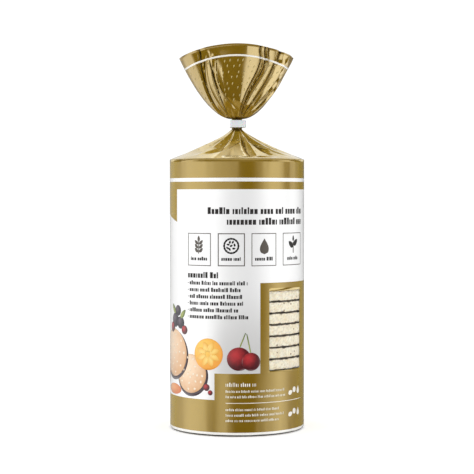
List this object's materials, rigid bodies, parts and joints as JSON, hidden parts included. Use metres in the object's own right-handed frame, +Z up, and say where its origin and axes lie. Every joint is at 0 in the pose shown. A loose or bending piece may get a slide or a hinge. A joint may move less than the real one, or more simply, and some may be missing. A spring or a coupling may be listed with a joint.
{
  "type": "film pack of puffed rice cakes",
  "caption": "Round shut film pack around a stack of puffed rice cakes, with a pleated top pinched by a clip band, an open ruffle above it and a window in the side.",
  "frame": {"origin": "middle of the flat base", "axes": "+Z up along the pack, -Y towards the middle of the side with the row of symbols, +X towards the window's side"},
  "size_m": [0.092, 0.092, 0.2598],
  "materials": {
    "printed_film": "satin",
    "clear_film": "gloss",
    "puffed_rice": "matte",
    "clip_plastic": "satin"
  },
  "bodies": {
    "root": {"film_bag": "printed_film", "clip_band": "clip_plastic", "rice_cake_1": "puffed_rice", "rice_cake_2": "puffed_rice", "rice_cake_3": "puffed_rice", "rice_cake_4": "puffed_rice", "rice_cake_5": "puffed_rice", "rice_cake_6": "puffed_rice", "rice_cake_7": "puffed_rice"}
  },
  "joints": []
}
